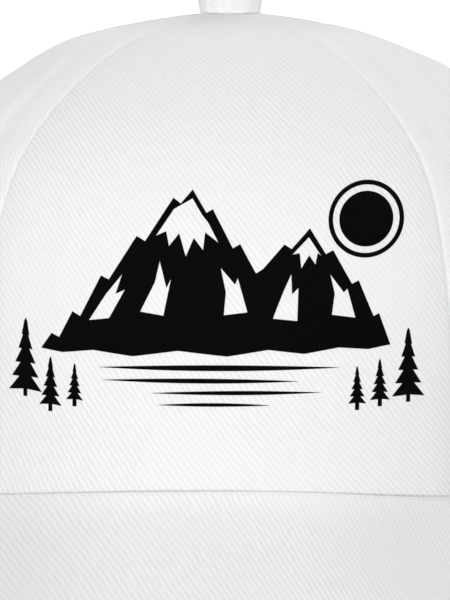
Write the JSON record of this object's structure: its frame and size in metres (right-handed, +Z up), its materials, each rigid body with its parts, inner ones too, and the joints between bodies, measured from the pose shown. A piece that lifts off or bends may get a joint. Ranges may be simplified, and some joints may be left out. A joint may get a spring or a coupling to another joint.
{
  "type": "baseball cap",
  "caption": "White cotton twill baseball cap: structured front panel, covered button, sewn eyelets, curved brim, and a back strap closed by a hinged lever buckle.",
  "frame": {"origin": "middle of the box's underside, on the table that the cap rests on with the brim's two sides and the crown's rear edge", "axes": "+Z up, -Y to the front, where the brim points, +X to the right seen from the front"},
  "size_m": [0.1688, 0.282, 0.1299],
  "materials": {
    "crown_twill": "white cotton twill, matt",
    "brim_twill": "white cotton twill, matt, stitched in rows",
    "button_cloth": "white cotton twill gathered over a button blank",
    "eyelet_thread": "white satin-stitched thread",
    "strap_twill": "white cotton twill, folded and stitched",
    "buckram": "stiff open-weave lining",
    "seam_tape": "woven cotton tape",
    "sweatband_cloth": "soft cotton, matt",
    "button_metal": "plain pressed steel",
    "print_ink": "black textile print, flat and matt",
    "sewing_thread": "white sewing thread",
    "buckle_metal": "aged brass, satin"
  },
  "bodies": {
    "cap": {"front_panel": "crown_twill", "side_panel_left": "crown_twill", "side_panel_right": "crown_twill", "back_panel_left": "crown_twill", "back_panel_right": "crown_twill", "front_lining": "buckram", "seam_tape_front_left": "seam_tape", "seam_tape_front_right": "seam_tape", "seam_tape_side_left": "seam_tape", "seam_tape_side_right": "seam_tape", "seam_tape_back": "seam_tape", "opening_binding": "seam_tape", "sweatband": "sweatband_cloth", "brim_top_cover": "brim_twill", "brim_under_cover": "brim_twill", "crown_button": "button_cloth", "button_back": "button_metal", "eyelet_side_left": "eyelet_thread", "eyelet_side_right": "eyelet_thread", "eyelet_back_left": "eyelet_thread", "eyelet_back_right": "eyelet_thread", "strap": "strap_twill", "strap_tab": "strap_twill", "buckle_frame": "buckle_metal", "buckle_pin": "buckle_metal"},
    "buckle_lever": {"buckle_lever": "buckle_metal"}
  },
  "joints": [
    {"name": "lever_hinge", "type": "hinge", "parent": "cap", "child": "buckle_lever", "pos_m": [-0.006, 0.13486, 0.01471], "axis": [0, 0.1811, 0.9835], "range_deg": [0, 100]}
  ]
}
